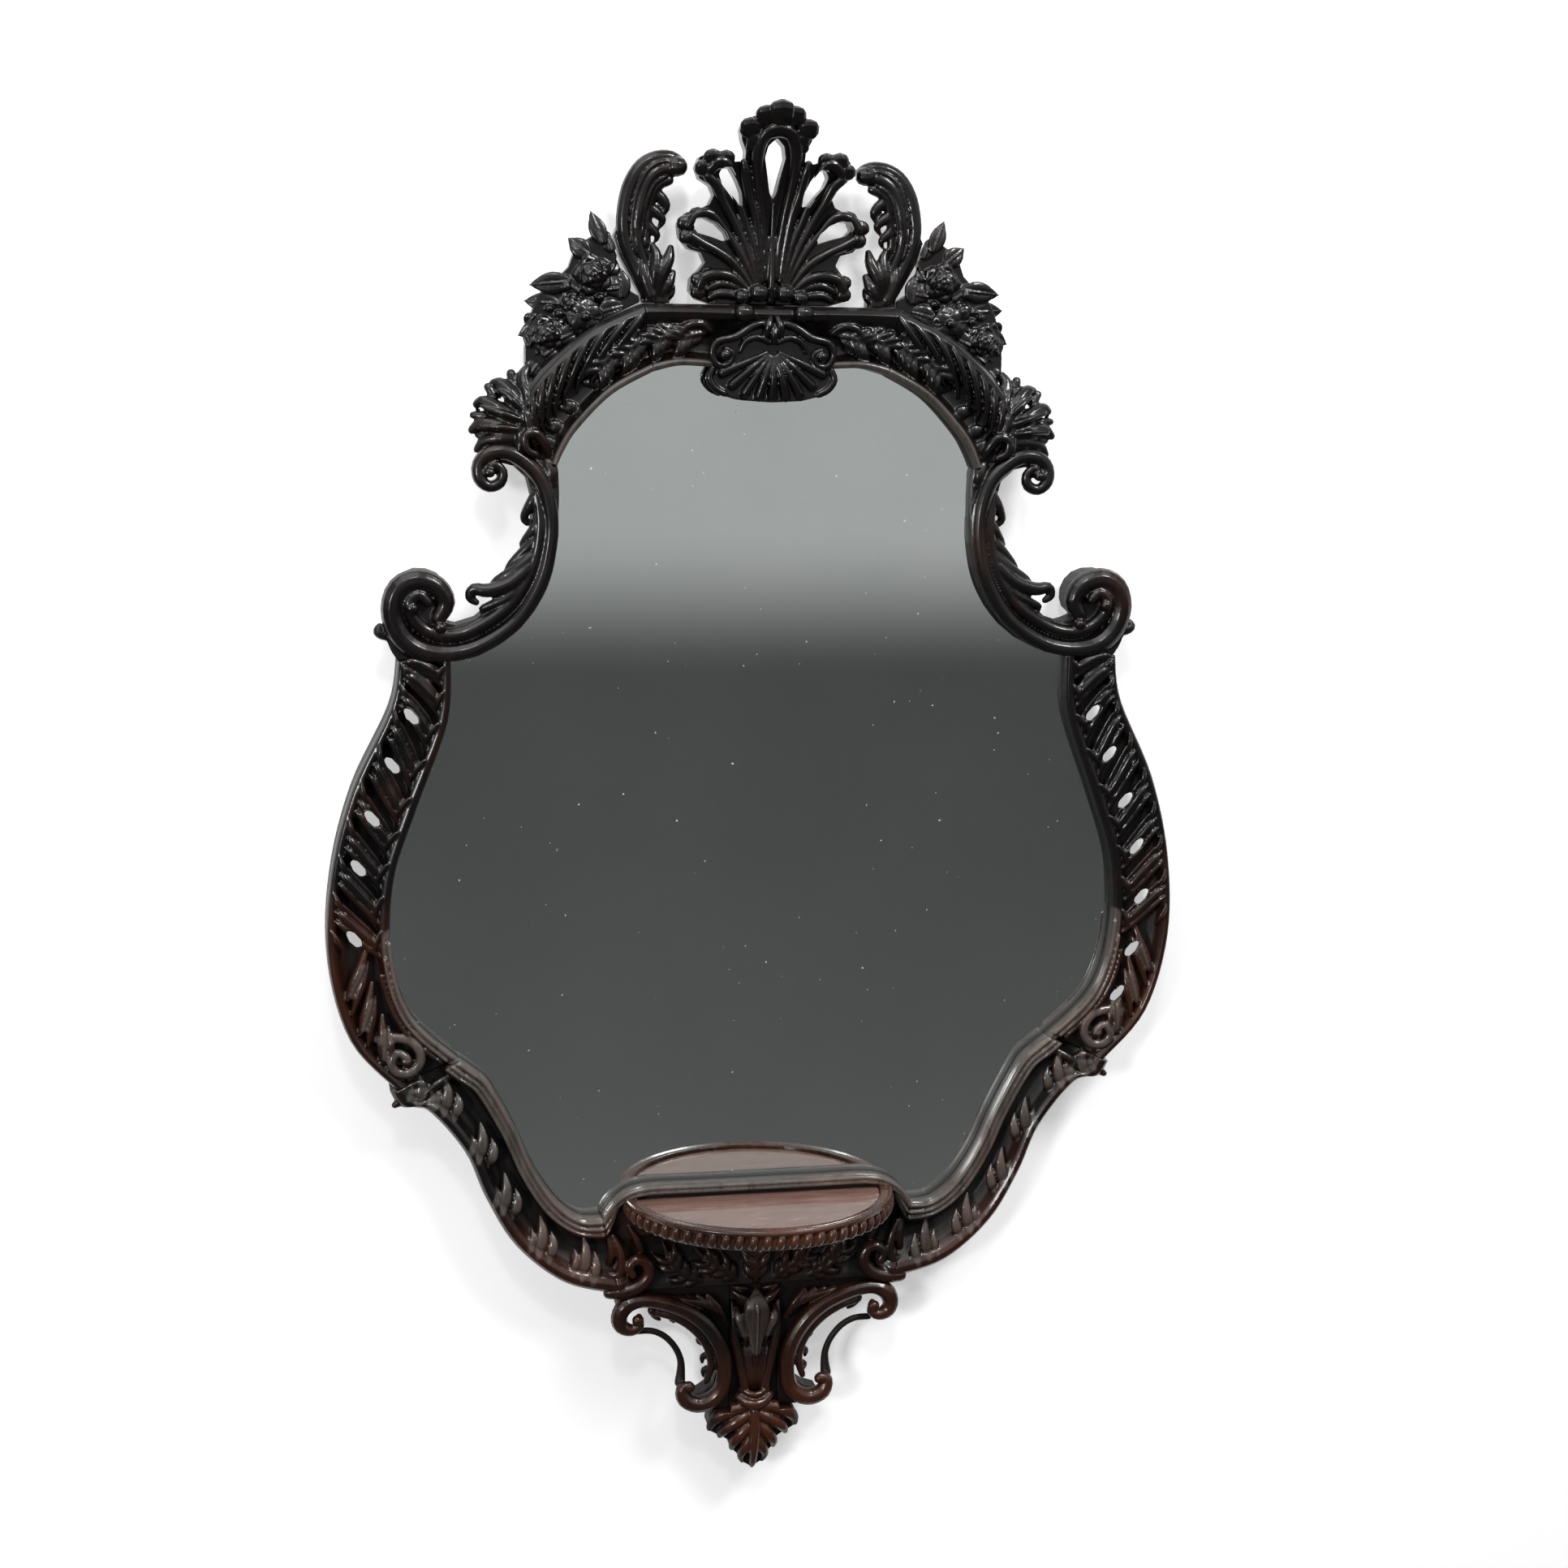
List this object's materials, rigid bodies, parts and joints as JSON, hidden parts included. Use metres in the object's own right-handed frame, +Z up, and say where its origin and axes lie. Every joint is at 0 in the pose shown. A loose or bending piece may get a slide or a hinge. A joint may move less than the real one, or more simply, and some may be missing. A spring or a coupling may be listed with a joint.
{
  "type": "carved wall mirror",
  "caption": "Carved dark wood rococo wall mirror with an openwork shell crest, leaf-carved scroll frame, pierced apron and a small half-round gadrooned shelf.",
  "frame": {"origin": "middle of the line between the two wall hooks, in the plane of the wall", "axes": "+Z up, -Y towards the room, +X to the right as seen from the room; the wall is Y = 0"},
  "size_m": [0.7462, 0.146, 1.2],
  "materials": {
    "carved_wood": "very dark brown stained and waxed hardwood, redder on worn edges, satin gloss",
    "shelf_wood": "polished reddish brown hardwood",
    "mirror_glass": "silvered glass with slight age specks",
    "cork": "cork",
    "softwood": "unfinished softwood darkened with age",
    "beech": "plain beech",
    "rubber": "matt rubber",
    "screw_steel": "dull zinc-plated steel",
    "hanger_steel": "dull steel with a brownish tarnish"
  },
  "bodies": {
    "mirror": {"top_rail_centre": "carved_wood", "top_rail_left": "carved_wood", "top_rail_right": "carved_wood", "shoulder_left": "carved_wood", "shoulder_right": "carved_wood", "side_rail_left": "carved_wood", "side_rail_right": "carved_wood", "lower_rail_left": "carved_wood", "lower_rail_right": "carved_wood", "bottom_rail": "carved_wood", "apron_scroll_left": "carved_wood", "apron_scroll_right": "carved_wood", "apron_drop": "carved_wood", "crest_shell": "carved_wood", "crest_scroll_left": "carved_wood", "crest_scroll_right": "carved_wood", "flower_spray_left": "carved_wood", "flower_spray_right": "carved_wood", "pendant_shell": "carved_wood", "shelf_board": "shelf_wood", "shelf_rim": "shelf_wood", "mirror_glass": "mirror_glass", "spacer_pads": "cork", "backboard": "softwood", "backboard_screws": "screw_steel", "joint_dowels": "beech", "crest_batten": "softwood", "batten_screws": "screw_steel", "shelf_screws": "screw_steel", "wall_bumpers": "rubber", "bumper_screws": "screw_steel", "hanger_strap_left": "hanger_steel", "hanger_strap_right": "hanger_steel", "hanger_screws": "screw_steel"},
    "ring_left": {"hanger_ring_left": "hanger_steel"},
    "ring_right": {"hanger_ring_right": "hanger_steel"}
  },
  "joints": [
    {"name": "ring_left_hinge", "type": "hinge", "parent": "mirror", "child": "ring_left", "pos_m": [-0.297, -0.00457, -0.018], "axis": [1, 0, 0], "range_deg": [0, 175]},
    {"name": "ring_right_hinge", "type": "hinge", "parent": "mirror", "child": "ring_right", "pos_m": [0.297, -0.00457, -0.018], "axis": [1, 0, 0], "range_deg": [0, 175]}
  ]
}
